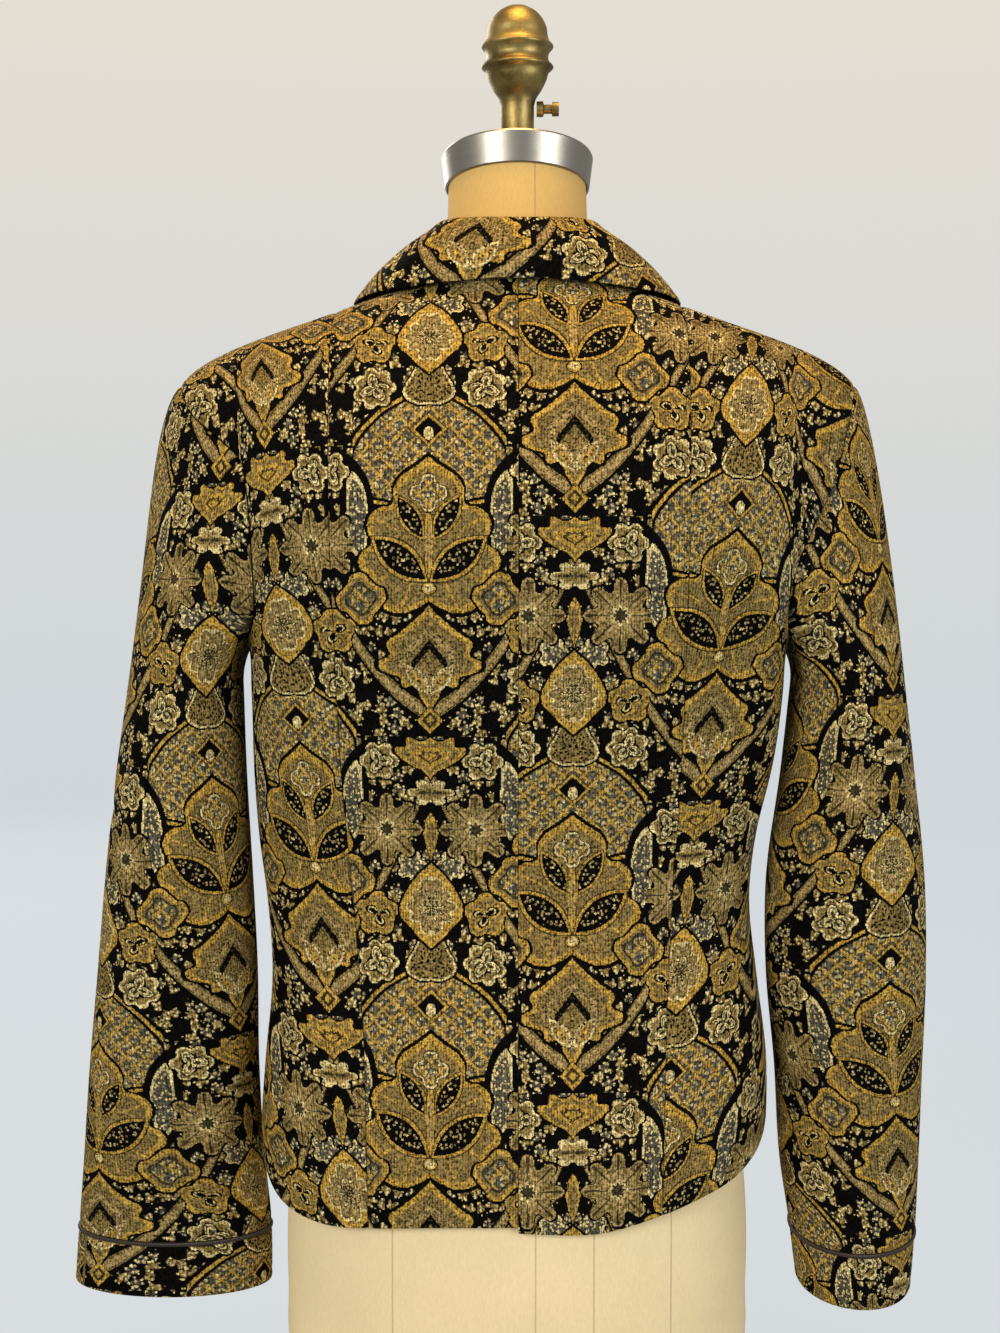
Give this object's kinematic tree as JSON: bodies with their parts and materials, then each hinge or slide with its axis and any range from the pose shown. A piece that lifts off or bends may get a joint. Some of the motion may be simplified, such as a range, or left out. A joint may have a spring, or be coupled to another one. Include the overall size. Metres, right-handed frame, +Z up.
{
  "type": "blazer on a dress form",
  "caption": "Woven brocade blazer with a fold-over collar and banded cuffs, on a limbless dress form with a neck cap, finial and round foot.",
  "frame": {"origin": "on the floor, in the middle of the foot's underside", "axes": "+Z up along the pole, the blazer's front towards -Y, its wearer's left towards +X"},
  "size_m": [0.583, 0.3, 1.0218],
  "materials": {
    "brocade": "woven jacquard brocade in black, taupe, khaki, ochre and cream, soft sheen",
    "ribbon": "dark brown corded ribbon",
    "horn": "dark horn-like, satin",
    "linen": "tan linen stretched over a firm form",
    "cap_metal": "turned aluminium with fine machining marks",
    "brass": "aged cast brass",
    "stand_metal": "dark enamel"
  },
  "bodies": {
    "root": {"centre_back_left": "brocade", "centre_back_right": "brocade", "side_back_left": "brocade", "side_back_right": "brocade", "side_front_left": "brocade", "side_front_right": "brocade", "front_left": "brocade", "front_right": "brocade", "lapel_left": "brocade", "lapel_right": "brocade", "collar": "brocade", "top_sleeve_left": "brocade", "top_sleeve_right": "brocade", "under_sleeve_left": "brocade", "under_sleeve_right": "brocade", "cuff_left": "brocade", "cuff_right": "brocade", "cuff_piping_left": "ribbon", "cuff_piping_right": "ribbon", "button_1": "horn", "button_2": "horn", "button_3": "horn", "torso": "linen", "neck_cap": "cap_metal", "finial": "brass", "thumb_screw": "brass", "pole": "stand_metal", "foot": "stand_metal"}
  },
  "joints": []
}
